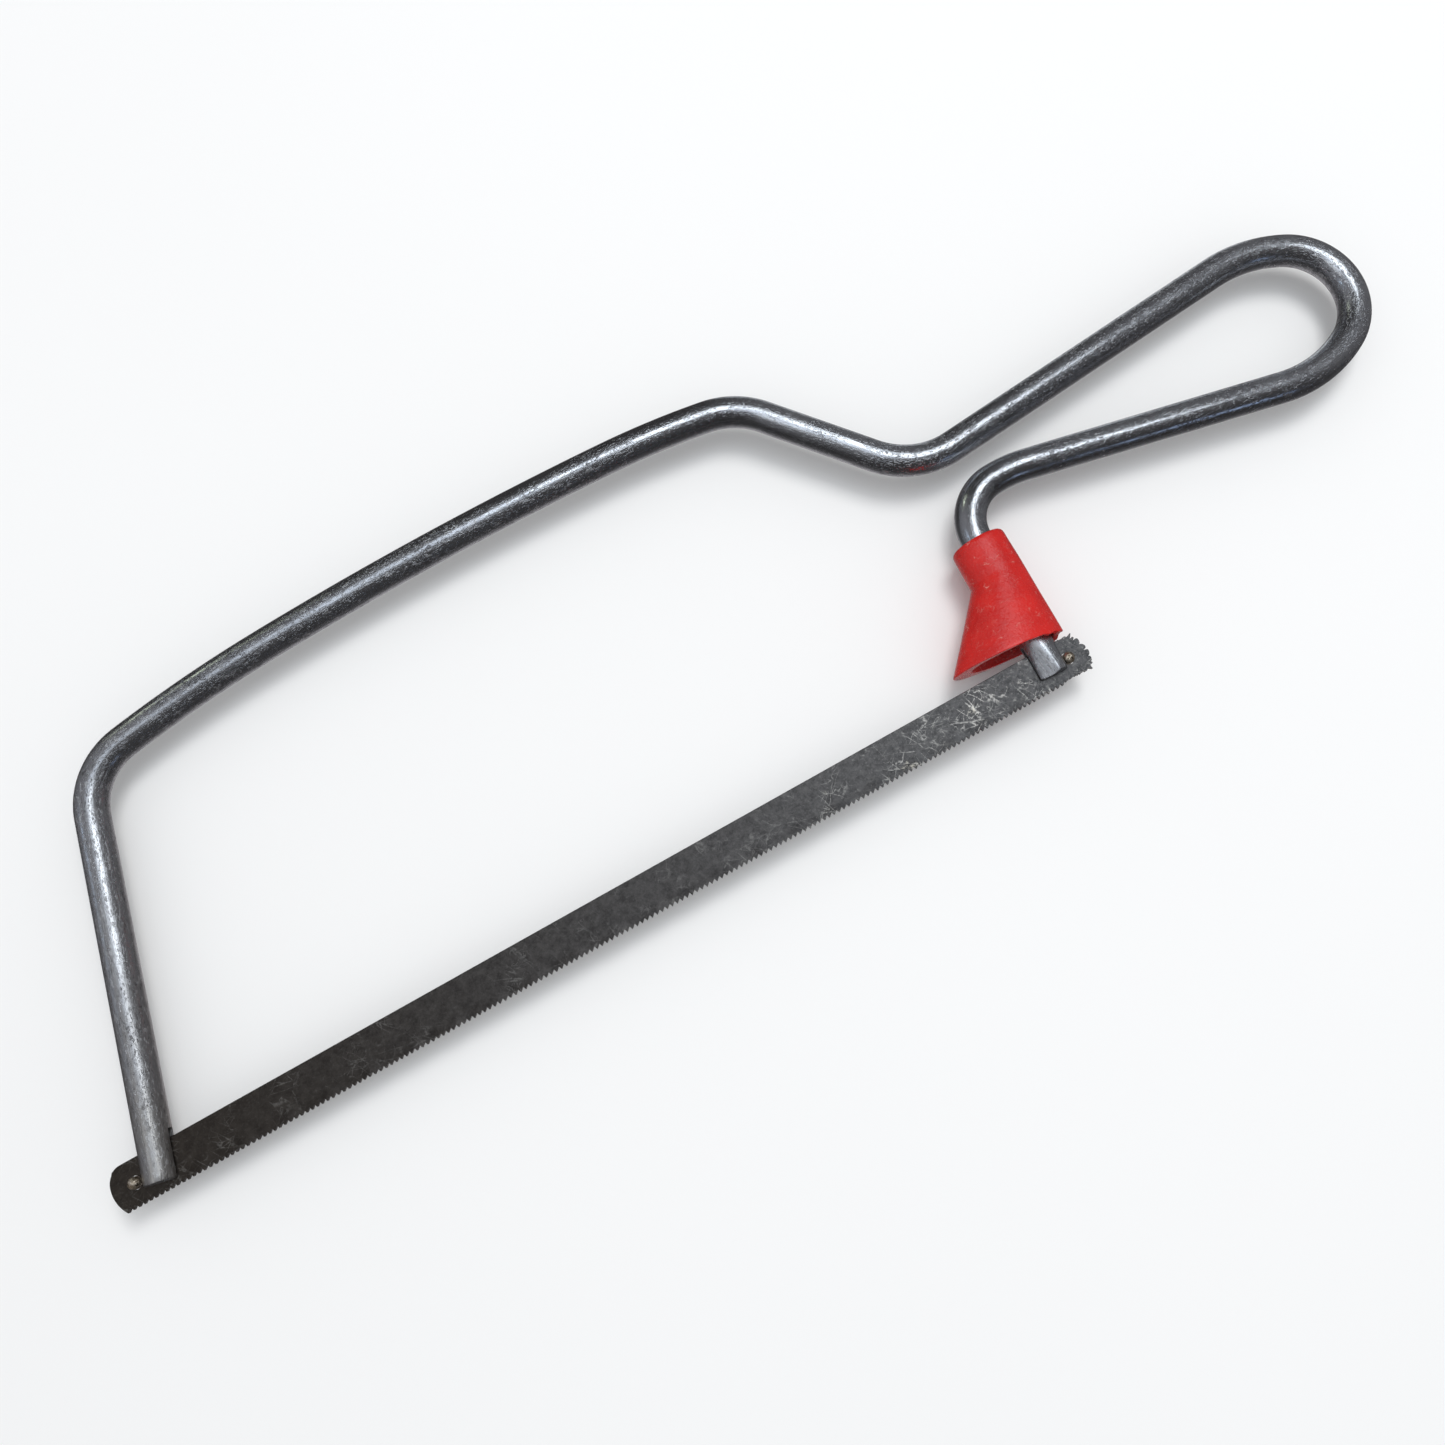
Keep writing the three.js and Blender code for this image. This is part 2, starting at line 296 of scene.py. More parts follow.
def rod_ring(distance, total):
    """The section's points (to the left, out of the saw's plane) at a distance along the rod."""
    front = distance < total / 2
    from_end = distance if front else total - distance
    slotted = from_end < (FRONT_SLOT if front else REAR_SLOT) - TOUCHING
    radius = ROD_RADIUS
    if from_end < END_ROUNDING:
        lift = 1 - from_end / END_ROUNDING
        radius -= END_ROUNDING * (1 - math.sqrt(1 - lift * lift))
    angles, arc = section_angles(radius)
    upper, lower, _ = halves(arc)
    points = []
    for i, angle in enumerate(angles):
        across = radius * math.cos(angle)
        out = radius * math.sin(angle)
        if slotted and i in (upper[0], upper[-1], lower[0], lower[-1]):
            across -= math.copysign(SLOT_CHAMFER, across)
        if not front:
            across, out = filed(across, out, PIN_SEAT, from_end)
            across, out = filed(across, out, PRESSED_FLAT, from_end)
        points.append((across, out))
    return points, slotted, arc


def stretch_faces(back, here, arc, slotted):
    """The faces between two rings: all the way round, or round each half and along the slot's walls."""
    upper, lower, count = halves(arc)
    faces = []
    for j in range(count):
        after = (j + 1) % count
        in_one_half = any(j in half and after in half for half in (upper, lower))
        if in_one_half or not slotted:
            faces.append((back + j, back + after, here + after, here + j))
    if slotted:
        for half in (upper, lower):
            faces.append((back + half[0], back + half[-1], here + half[-1], here + half[0]))
    return faces


def slot_bottom(ring, arc):
    """The face that closes a slot's bottom, from mouth to mouth of the ring there."""
    upper, lower, count = halves(arc)
    across = (*range(upper[-1], lower[0] + 1), *range(lower[-1], count), upper[0])
    return [ring + j for j in across]


def make_rod():
    stations = rod_stations()
    total = stations[-1][0]
    vertices, places, faces = [], [], []
    was_slotted = True
    for row, (distance, place, heading) in enumerate(stations):
        points, slotted, arc = rod_ring(distance, total)
        left = Vector((-math.sin(heading), math.cos(heading), 0))
        for across, out in points:
            vertices.append(place + across * left + Vector((0, 0, out)))
            places.append(Vector((distance, across, out)) / MM)
        upper, lower, count = halves(arc)
        here = row * count
        back = here - count
        if row:
            faces += stretch_faces(back, here, arc, was_slotted or slotted)
        if row in (0, len(stations) - 1):
            faces.append([here + j for j in upper])
            faces.append([here + j for j in lower])
        elif was_slotted and not slotted:
            faces.append(slot_bottom(here, arc))
        if slotted and not was_slotted:
            faces.append(slot_bottom(back, arc))
        was_slotted = slotted
    return mesh_object("bow", vertices, faces, places=places)


# ---- The blade and its pins ----------------------------------------------------------------------


def blade_columns():
    """Where the blade's outline is set down: x, lowest y and highest y, from nose to nose."""
    middle = (BLADE_LOW.y + BLADE_HIGH.y) / 2
    struck_behind_pin = NOSE_RADIUS - NOSE_PAST_PIN
    front_struck = FRONT_PIN.x + struck_behind_pin
    rear_struck = REAR_PIN.x - struck_behind_pin
    inset = NOSE_RADIUS * math.cos(NOSE_HALF_TURN)
    first_tip = front_struck - inset
    last_tip = rear_struck + inset
    columns = []
    for i in range(NOSE_STEPS):
        angle = NOSE_HALF_TURN * i / NOSE_STEPS
        x = front_struck - NOSE_RADIUS * math.cos(angle)
        rise = NOSE_RADIUS * math.sin(angle)
        columns.append((x, middle - rise, middle + rise - back_corner(x - first_tip)))
    teeth = math.floor((last_tip - first_tip) / TOOTH_PITCH)
    for i in range(teeth):
        for along, deep in TOOTH_SHAPE:
            x = first_tip + (i + along) * TOOTH_PITCH
            wear = TOOTH_WEAR * abs(noise.noise(Vector((i * 0.37, 0, 0)))) * (1 - deep)
            low = BLADE_LOW.y + TOOTH_DEPTH * (deep + wear)
            columns.append((x, low, BLADE_HIGH.y - back_corner(x - first_tip)))
    for i in range(NOSE_STEPS):
        angle = NOSE_HALF_TURN * (1 - (i + 0.5) / (NOSE_STEPS + 0.5))
        rise = NOSE_RADIUS * math.sin(angle)
        x = rear_struck + NOSE_RADIUS * math.cos(angle)
        columns.append((x, middle - rise, middle + rise))
    apart = [c for c, after in zip(columns, columns[1:]) if after[0] > c[0] + SAME_PLACE]
    return apart + columns[-1:]


def back_corner(behind_corner):
    """How far the rounding of the front end's top corner takes the blade's back down."""
    deepest = 0.5 * MM
    behind = 1 - smoothstep(-0.5 * MM, 1.1 * MM, behind_corner)
    ahead = smoothstep(-1.0 * MM, 0, behind_corner)
    return deepest * behind * ahead


def tooth_set(x, y):
    """How far the wavy set of the teeth throws the blade sideways."""
    wave = math.sin(2 * math.pi * x / (SET_TEETH * TOOTH_PITCH))
    near_teeth = 1 - smoothstep(0.3 * MM, 1.7 * MM, y - BLADE_LOW.y)
    past_front = smoothstep(4 * MM, 9 * MM, x - FRONT_PIN.x)
    before_rear = smoothstep(6 * MM, 11 * MM, REAR_PIN.x - x)
    return SET_THROW * wave * near_teeth * past_front * before_rear


def make_blade():
    half = (BLADE_HIGH.z - BLADE_LOW.z) / 2
    middle_z = (BLADE_HIGH.z + BLADE_LOW.z) / 2
    vertices, faces = [], []
    columns = blade_columns()
    for x, low, high in columns:
        rows = [low + (high - low) * share for share in BLADE_ROWS]
        shoulder = max(high - BACK_EDGE, rows[-1])
        side = [(y, half) for y in rows] + [(shoulder, half), (high, half - BACK_EDGE)]
        loop = side + [(y, -z) for y, z in reversed(side)]
        vertices += [Vector((x, y, middle_z + z + tooth_set(x, y))) for y, z in loop]
    count = 2 * (len(BLADE_ROWS) + 2)
    for i in range(len(columns) - 1):
        here = i * count
        ahead = here + count
        for j in range(count):
            after = (j + 1) % count
            faces.append((here + j, here + after, ahead + after, ahead + j))
    faces.append(list(range(count)))
    faces.append([(len(columns) - 1) * count + j for j in range(count)])
    blade = mesh_object("blade_steel", vertices, faces, sharp_degrees=25)
    weld(blade, WELD)
    for pin in (FRONT_PIN, REAR_PIN):
        cut_away(blade, circle(pin, PIN_HOLE_RADIUS))
    cut_away(blade, ragged_end())
    blade.data.set_sharp_from_angle(angle=math.radians(25))
    return blade


def weld(piece, distance):
    """Joins vertices that fell together where the outline comes to a point."""
    work = bmesh.new()
    work.from_mesh(piece.data)
    bmesh.ops.remove_doubles(work, verts=work.verts, dist=distance)
    bmesh.ops.dissolve_degenerate(work, edges=work.edges, dist=distance / 2)
    bmesh.ops.recalc_face_normals(work, faces=work.faces)
    work.to_mesh(piece.data)
    work.free()


def rear_outline(travel):
    """A place on the unworn outline, the way out of the blade there, and how far the nearest corner is.

    travel is how far the place is along the outline, which starts on the teeth and ends on the back."""
    struck = Vector((REAR_PIN.x - NOSE_RADIUS + NOSE_PAST_PIN, REAR_PIN.y, 0))
    corner_x = struck.x + NOSE_RADIUS * math.cos(NOSE_HALF_TURN)
    if travel < WORN_TEETH:
        place = Vector((corner_x - WORN_TEETH + travel, BLADE_LOW.y, 0))
        return place, Vector((0, -1, 0)), WORN_TEETH - travel
    if travel < WORN_TEETH + NOSE_ARC:
        angle = (travel - WORN_TEETH) / NOSE_RADIUS - NOSE_HALF_TURN
        outwards = Vector((math.cos(angle), math.sin(angle), 0))
        from_corner = min(travel - WORN_TEETH, WORN_TEETH + NOSE_ARC - travel)
        return struck + NOSE_RADIUS * outwards, outwards, from_corner
    past_corner = travel - WORN_TEETH - NOSE_ARC
    return Vector((corner_x - past_corner, BLADE_HIGH.y, 0)), Vector((0, 1, 0)), past_corner


def worn_place(travel, total, bump):
    """Where the worn edge runs, which is bump or more inside the unworn outline."""
    place, outwards, from_corner = rear_outline(travel)
    fade = smoothstep(0, SOUND_CORNER, from_corner)
    fade *= smoothstep(0, WEAR_FADE, min(travel, total - travel))
    inset = bump + WANDER * abs(noise.noise(Vector((travel / WANDER_LENGTH, 3.0, 0))))
    return place - outwards * (inset * fade - CUT_OVERLAP)


def ragged_end():
    """The region to cut off the blade's rear end: a worn edge, and a way back well clear of the blade."""
    dice = random.Random(5)
    total = WORN_TEETH + NOSE_ARC + WORN_BACK
    ragged, begun = [], 0.0
    while begun < total:
        width = dice.uniform(*BUMP_WIDTHS) * MM
        notch = dice.uniform(*NOTCH_DEPTHS) * MM
        top = dice.uniform(*BUMP_TOP_DEPTHS) * MM
        for i in range(BUMP_STEPS):
            travel = begun + width * (i / BUMP_STEPS)
            across = 2 * i / BUMP_STEPS - 1
            bump = top + (notch - top) * (1 - math.sqrt(max(0.0, 1 - across * across)))
            if travel < total:
                ragged.append(worn_place(travel, total, bump))
        begun += width
    clear = []
    steps = 39
    for i in range(steps + 1):
        travel = total * (1 - i / steps) * 0.9999
        place, outwards, _ = rear_outline(travel)
        clear.append(place + outwards * CUT_CLEARANCE)
    return ragged + clear


def cut_away(piece, outline):
    """Cuts everything inside an outline right through a thin piece."""
    work = bmesh.new()
    bottom = work.faces.new([work.verts.new(place + Vector((0, 0, CUT_FROM))) for place in outline])
    raised = bmesh.ops.extrude_face_region(work, geom=[bottom])["geom"]
    top = [item for item in raised if isinstance(item, bmesh.types.BMVert)]
    bmesh.ops.translate(work, vec=(0, 0, CUT_HEIGHT), verts=top)
    bmesh.ops.triangulate(work, faces=[face for face in work.faces if len(face.verts) > 4])
    bmesh.ops.recalc_face_normals(work, faces=work.faces)
    tool_mesh = bpy.data.meshes.new("cut_tool")
    work.to_mesh(tool_mesh)
    work.free()
    tool = bpy.data.objects.new("cut_tool", tool_mesh)
    bpy.context.scene.collection.objects.link(tool)
    cut = piece.modifiers.new("cut", "BOOLEAN")
    cut.operation = "DIFFERENCE"
    cut.solver = "EXACT"
    cut.object = tool
    graph = bpy.context.evaluated_depsgraph_get()
    piece_cut = bpy.data.meshes.new_from_object(piece.evaluated_get(graph))
    piece.modifiers.remove(cut)
    piece.data = in_fixed_order(piece_cut)
    bpy.data.objects.remove(tool)


def in_fixed_order(mesh):
    """The same mesh with its vertices and faces in order of place: a cut leaves them in any order."""
    order = sorted(range(len(mesh.vertices)), key=lambda i: tuple(mesh.vertices[i].co))
    rank = {old: new for new, old in enumerate(order)}
    faces = [([rank[i] for i in polygon.vertices], polygon.use_smooth) for polygon in mesh.polygons]
    faces.sort(key=lambda face: sorted(face[0]))
    ordered = bpy.data.meshes.new(mesh.name)
    ordered.from_pydata([mesh.vertices[i].co for i in order], [], [corners for corners, _ in faces])
    ordered.polygons.foreach_set("use_smooth", [smooth for _, smooth in faces])
    return ordered


def circle(centre, radius, sides=48):
    """Places round a circle in the saw's plane."""
    turns = spread(0, 2 * math.pi, sides)
    return [Vector((centre.x + radius * math.cos(a), centre.y + radius * math.sin(a), 0)) for a in turns]


def make_pin(name, centre, seed):
    """A pin with worn, slightly mushroomed heads, no two quite alike."""
    profile = [(0.0, PIN_HALF)]
    for i in range(1, PIN_DOME_STEPS + 1):
        turn = math.pi / 2 * i / PIN_DOME_STEPS
        profile.append((PIN_RADIUS * 0.99 * math.sin(turn), PIN_HALF - PIN_DOME * (1 - math.cos(turn))))
    profile += [(PIN_RADIUS, PIN_HALF - PIN_DOME - PIN_RIM), (PIN_RADIUS * 0.97, PIN_SHANK_HALF)]
    profile += [(r, -z) for r, z in reversed(profile)]
    vertices, faces = [], []
    for radius, height in profile:
        for j in range(PIN_SIDES):
            angle = 2 * math.pi * j / PIN_SIDES
            point = Vector((radius * math.cos(angle), radius * math.sin(angle), height))
            worn = PIN_WEAR * noise.noise(point / (0.7 * MM) + Vector((seed, 0, 0)))
            vertices.append(centre + point * (0.965 + worn * smoothstep(0.5 * MM, PIN_HALF, abs(height))))
    for i in range(len(profile) - 1):
        here = i * PIN_SIDES
        ahead = here + PIN_SIDES
        for j in range(PIN_SIDES):
            after = (j + 1) % PIN_SIDES
            faces.append((here + j, here + after, ahead + after, ahead + j))
    pin = mesh_object(name, vertices, faces, sharp_degrees=60)
    weld(pin, WELD)
    return pin


# ---- The guard -----------------------------------------------------------------------------------


def ring(below, long, wide=None, forward=0.0, tilt=0.0):
    """A ring of the guard: how far below the collar's top, half axes, how far forwards, and its tilt."""
    return Vector((below, long, long if wide is None else wide, forward, tilt))


def rounded(before, corner, after, radius, steps=4):
    """Rings that round a corner of the guard's profile."""
    into = corner.lerp(before, min(0.5, radius / max(1e-6, (before - corner).length)))
    out = corner.lerp(after, min(0.5, radius / max(1e-6, (after - corner).length)))
    shares = [i / steps for i in range(steps + 1)]
    return [into.lerp(corner, s).lerp(corner.lerp(out, s), s) for s in shares]


def guard_profile():
    """The guard's rings in order: up the bore, down the outside to the rim, and up the inside."""
    bore_top = ring(0, BORE_RADIUS)
    collar_top = ring(0, 4.15, forward=0.15)
    neck = ring(6.1, 4.23, forward=0.15)
    rim = ring(RIM_BELOW, RIM_LONG, 5.5, RIM_FORWARD, RIM_TILT)
    rim_inside = ring(RIM_BELOW, 6.75, 4.6, 3.55, RIM_TILT)
    roof_edge = ring(ROOF_BELOW, 3.15)
    roof = ring(ROOF_BELOW, BORE_RADIUS)
    key = [roof, bore_top, collar_top, neck, rim, rim_inside, roof_edge]
    radii = [0.12, 0.25, 0.85, 0.25, 0.3, 0.25, 0.35]  # how each corner is rounded
    between = [12, 3, 16, 34, 5, 24, 2]  # rings along each stretch after a corner
    rings = []
    for i, corner in enumerate(key):
        before, after = key[i - 1], key[(i + 1) % len(key)]
        rings += rounded(before, corner, after, radii[i])
        leave = rings[-1]
        arrive = rounded(corner, after, key[(i + 2) % len(key)], radii[(i + 1) % len(key)])[0]
        rings += [leave.lerp(arrive, s / between[i]) for s in range(1, between[i])]
    return rings


def guard_point(values, angle):
    """A point of the guard's surface in its own frame: its front at -X, the leg's foot down -Y."""
    below, long, wide, forward, tilt = values
    rear = RIM_LONG - RIM_FORWARD
    ahead = forward + long * math.cos(angle)
    point = Vector((-ahead, -below + tilt * (ahead + rear), wide * math.sin(angle)))
    uneven = 0.05 * noise.noise(point * 0.35) + 0.012 * noise.noise(point * 2.3)
    if below > FLASH_FROM:  # a little flash hangs from the rim
        behind = smoothstep(0.2, 0.95, -math.cos(angle))
        rough = max(0.0, noise.noise(Vector((angle * 7.3, below, 2.0))) + 0.25)
        point.y -= FLASH_DROP * behind * rough * smoothstep(FLASH_FROM, RIM_BELOW, below)
    return point * (1 + uneven / max(3.0, point.length))


def make_guard():
    top = REAR_FOOT + REAR_UP * GUARD_ABOVE_FOOT
    across = Vector((REAR_UP.y, -REAR_UP.x, 0))
    place = Matrix((across, REAR_UP, Vector((0, 0, 1)))).transposed()
    rings = guard_profile()
    vertices, faces = [], []
    for values in rings:
        for j in range(GUARD_SIDES):
            point = guard_point(values, 2 * math.pi * j / GUARD_SIDES)
            vertices.append(top + place @ (point * MM))
    for i in range(len(rings)):
        here = i * GUARD_SIDES
        ahead = (i + 1) % len(rings) * GUARD_SIDES
        for j in range(GUARD_SIDES):
            after = (j + 1) % GUARD_SIDES
            faces.append((here + j, here + after, ahead + after, ahead + j))
    return mesh_object("guard_moulding", vertices, faces, sharp_degrees=70)


# ---- Materials -----------------------------------------------------------------------------------


class Shader:
    """A material, with short calls that add nodes to it and return their output sockets."""

    def __init__(self, name):
        self.material = bpy.data.materials.new(name)
        self.material.use_nodes = True
        self.tree = self.material.node_tree
        self.surface = self.tree.nodes["Principled BSDF"]

    def add(self, kind, output, inputs, **settings):
        node = self.tree.nodes.new(kind)
        for name, value in settings.items():
            setattr(node, name, value)
        for name, value in inputs.items():
            self.put(node.inputs[name], value)
        return node.outputs[output]

    def put(self, socket, value):
        if isinstance(value, bpy.types.NodeSocket):
            self.tree.links.new(value, socket)
        else:
            socket.default_value = value

    def place(self, attribute=None):
        """Where a point is: its place in the row frame in millimetres, or a named attribute of the mesh."""
        if attribute:
            return self.add("ShaderNodeAttribute", "Vector", {}, attribute_name=attribute)
        here = self.add("ShaderNodeTexCoord", "Object", {})
        return self.stretch(here, (1 / MM, 1 / MM, 1 / MM))

    def stretch(self, vector, factors):
        return self.add("ShaderNodeVectorMath", 0, {0: vector, 1: factors}, operation="MULTIPLY")

    def turned(self, vector, degrees):
        return self.add("ShaderNodeVectorRotate", 0, {"Vector": vector, "Angle": math.radians(degrees)})

    def axis(self, vector, name):
        return self.add("ShaderNodeSeparateXYZ", name, {"Vector": vector})

    def noise(self, vector, scale, detail=3.0, rough=0.55, warp=0.0):
        inputs = {"Vector": vector, "Scale": scale, "Detail": detail, "Roughness": rough}
        return self.add("ShaderNodeTexNoise", 0, {**inputs, "Distortion": warp})

    def shades(self, value, stops):
        """A grey that follows a value from stop to stop, each a value and a shade."""
        low, high = stops[0][0], stops[-1][0]
        ramp = self.tree.nodes.new("ShaderNodeValToRGB")
        self.put(ramp.inputs[0], self.fit(value, low, high))
        elements = ramp.color_ramp.elements
        while len(elements) < len(stops):
            elements.new(0.5)
        for element, (where, shade) in zip(elements, stops):
            element.position = (where - low) / (high - low)
            element.color = (shade, shade, shade, 1)
        return ramp.outputs["Color"]

    def hairlines(self, vector, scale, width, seed=0.0):
        """Thin winding lines, where a smooth noise crosses its middle value."""
        moved = self.add("ShaderNodeVectorMath", 0, {0: vector, 1: (seed, -seed, seed)}, operation="ADD")
        wandering = self.noise(moved, scale, detail=1.5, rough=0.45, warp=0.4)
        off = self.math("ABSOLUTE", self.math("SUBTRACT", wandering, 0.5))
        return self.fit(off, width, 0.4 * width)

    def fit(self, value, low, high, to_low=0.0, to_high=1.0):
        inputs = {"Value": value, "From Min": low, "From Max": high, "To Min": to_low, "To Max": to_high}
        return self.add("ShaderNodeMapRange", 0, inputs)

    def math(self, operation, one, other=0.0):
        return self.add("ShaderNodeMath", 0, {0: one, 1: other}, operation=operation)

    def mix(self, share, one, other):
        node = self.tree.nodes.new("ShaderNodeMix")
        node.data_type = "RGBA"
        factor = next(socket for socket in node.inputs if socket.name == "Factor")
        first, second = (socket for socket in node.inputs if socket.type == "RGBA")
        for socket, value in ((factor, share), (first, one), (second, other)):
            self.put(socket, value)
        return next(socket for socket in node.outputs if socket.type == "RGBA")

    def bump(self, height, distance, strength=1.0, under=None):
        inputs = {"Height": height, "Distance": distance, "Strength": strength}
        if under:
            inputs["Normal"] = under
        return self.add("ShaderNodeBump", 0, inputs)

    def finish(self, **inputs):
        for name, value in inputs.items():
            self.put(self.surface.inputs[name.replace("_", " ")], value)
        return self.material


# How the plating changes along the rod: each stop is a place, in millimetres from the front foot, and a
# share. First how worn it is, then how far its reflections are softened, then how dull and grey it is.
PLATING_WEAR = [
    (0, 0.6),
    (40, 1.0),
    (140, 0.85),
    (165, 0.4),
    (190, 0.8),
    (262, 0.8),
    (330, 0.7),
    (345, 0.35),
    (368, 0.4),
    (373, 0.6),
    (379, 0.6),
]
SOFT_REFLECTIONS = [(0, 0.5), (90, 0.4), (125, 0.25), (150, 0.0), (370, 0.0), (374, 1.0), (379, 1.0)]
DULL_LEG = [(0, 1.0), (22, 0.8), (50, 0.35), (75, 0.0)]

# The blade's three runs of scratches: which way each is turned, how far it is drawn out, how close
# and how wide its lines are, and its seed.
BLADE_SCRATCHES = [
    (62, 0.25, 0.55, 0.015, 0.0),
    (18, 0.2, 0.6, 0.013, 31.0),
    (-40, 0.4, 0.8, 0.015, 77.0),
]


def plated_steel():
    """Bright plating over drawn rod: fine lines along it, specks and scuffs, and a dull grey front leg."""
    s = Shader("plated_steel")
    place = s.place("rod_place")
    along = s.axis(place, "X")
    wear = s.shades(along, PLATING_WEAR)
    cloud = s.noise(place, 0.16, detail=3)
    drawn = s.noise(s.stretch(place, (0.10, 1.7, 1.7)), 1.5, detail=4, rough=0.65)
    pits = s.noise(s.stretch(place, (0.4, 1, 1)), 2.3, detail=4, rough=0.7)
    scratch = s.noise(s.stretch(place, (0.22, 1.6, 1.6)), 1.1, detail=5, rough=0.75, warp=0.5)
    patchy = s.math("MULTIPLY", wear, s.fit(cloud, 0.35, 0.6, 0.35, 1.0))
    bright = s.math("MULTIPLY", s.fit(pits, 0.56, 0.63), patchy)
    dim = s.math("MULTIPLY", s.fit(pits, 0.44, 0.37), patchy)
    worn = s.math("MULTIPLY", s.fit(scratch, 0.57, 0.66), patchy)
    dull = s.math("MULTIPLY", s.shades(along, DULL_LEG), s.fit(cloud, 0.3, 0.6, 0.7, 1.0))
    foot = s.math("MULTIPLY", s.fit(along, 14, 2), s.fit(cloud, 0.4, 0.6, 0.3, 1.0))
    clean = s.mix(s.fit(cloud, 0.35, 0.65), (0.70, 0.72, 0.755, 1), (0.58, 0.595, 0.63, 1))
    greyed = s.mix(dull, clean, (0.52, 0.51, 0.505, 1))
    browned = s.mix(foot, greyed, (0.56, 0.54, 0.51, 1))
    dimmed = s.mix(s.math("MULTIPLY", dim, 0.7), browned, (0.15, 0.145, 0.15, 1))
    flecks = s.math("MAXIMUM", bright, s.math("MULTIPLY", worn, 0.5))
    colour = s.mix(flecks, dimmed, (0.98, 0.985, 1.0, 1))
    soft = s.shades(along, SOFT_REFLECTIONS)
    rough = s.fit(drawn, 0.3, 0.7, 0.10, 0.20)
    for mask, added in ((dull, 0.10), (soft, 0.10), (patchy, 0.06), (flecks, 0.14)):
        rough = s.math("ADD", rough, s.math("MULTIPLY", mask, added))
    grain = s.bump(drawn, 0.03 * MM, 0.8)
    relief = s.math("SUBTRACT", s.math("MULTIPLY", bright, 0.8), dim)
    pitted = s.bump(relief, 0.034 * MM, 1.0, under=grain)
    return s.finish(Base_Color=colour, Metallic=1.0, Roughness=rough, Normal=pitted)


def blade_steel():
    """Blackened spring steel, rubbed grey towards the handle, with scratches and dust in its teeth."""
    s = Shader("blackened_steel")
    place = s.place()
    along, up = s.axis(place, "X"), s.axis(place, "Y")
    rolled = s.noise(s.stretch(place, (0.12, 3.0, 1)), 1.4, detail=5, rough=0.7)
    mottle = s.noise(place, 0.7, detail=7, rough=0.8)
    grit = s.noise(place, 2.6, detail=3, rough=0.7)
    rubbed = s.fit(along, -100, 45)
    scuffed = s.fit(along, -15, 45, 0.12, 1.0)
    near_teeth = s.fit(up, BLADE_LOW.y / MM + 2.6, BLADE_LOW.y / MM + 0.4)
    clumps = s.noise(place, 0.22, detail=3, rough=0.6)
    clusters = s.math("ADD", clumps, s.math("MULTIPLY", near_teeth, 0.07))
    lines = 0.0
    for degrees, drawn_out, scale, width, seed in BLADE_SCRATCHES:
        run = s.stretch(s.turned(place, degrees), (drawn_out, 1, 1))
        lines = s.math("MAXIMUM", lines, s.hairlines(run, scale, width, seed))
    lines = s.math("MULTIPLY", lines, s.fit(clusters, 0.50, 0.64, 0.08, 1.0))
    lines = s.math("MULTIPLY", lines, s.math("MULTIPLY", scuffed, s.fit(grit, 0.40, 0.54, 0.15, 1.0)))
    patches = s.math("MULTIPLY", s.fit(clusters, 0.66, 0.72), s.fit(grit, 0.48, 0.60))
    dusty = s.math("MULTIPLY", patches, s.fit(along, -10, 25))
    dark = s.mix(s.fit(mottle, 0.38, 0.62), (0.042, 0.035, 0.030, 1), (0.070, 0.059, 0.050, 1))
    grey = s.mix(s.fit(mottle, 0.38, 0.62), (0.063, 0.063, 0.066, 1), (0.180, 0.179, 0.182, 1))
    body = s.mix(s.math("MULTIPLY", rubbed, s.fit(rolled, 0.3, 0.6, 0.75, 1.0)), dark, grey)
    flecks = s.math("MULTIPLY", s.fit(grit, 0.58, 0.68), s.math("MULTIPLY", scuffed, 0.45))
    flecked = s.mix(flecks, body, (0.45, 0.44, 0.42, 1))
    scratched = s.mix(lines, flecked, (0.85, 0.83, 0.78, 1))
    colour = s.mix(s.math("MULTIPLY", dusty, 0.8), scratched, (0.70, 0.67, 0.58, 1))
    metal = s.fit(s.math("MAXIMUM", dusty, lines), 0, 1, 0.9, 0.1)
    rough = s.math("ADD", s.fit(rolled, 0.3, 0.7, 0.33, 0.46), s.fit(mottle, 0.3, 0.7, -0.05, 0.08))
    grain = s.bump(rolled, 0.02 * MM, 0.6)
    normal = s.bump(grit, 0.02 * MM, 0.6, under=grain)
    return s.finish(Base_Color=colour, Metallic=metal, Roughness=rough, Normal=normal)


def pin_steel():
    """Domed pin heads with a brassy rub and grime in their pits."""
    s = Shader("pin_steel")
    place = s.place()
    blotch = s.noise(place, 1.3, detail=4, rough=0.7)
    grit = s.noise(place, 2.6, detail=3)
    brassy = s.mix(s.fit(blotch, 0.40, 0.6), (0.42, 0.33, 0.23, 1), (0.90, 0.80, 0.66, 1))
    colour = s.mix(s.fit(grit, 0.44, 0.36), brassy, (0.10, 0.075, 0.05, 1))
    normal = s.bump(grit, 0.12 * MM, 0.9)
    rough = s.fit(blotch, 0.3, 0.7, 0.38, 0.22)
    return s.finish(Base_Color=colour, Metallic=0.95, Roughness=rough, Normal=normal)


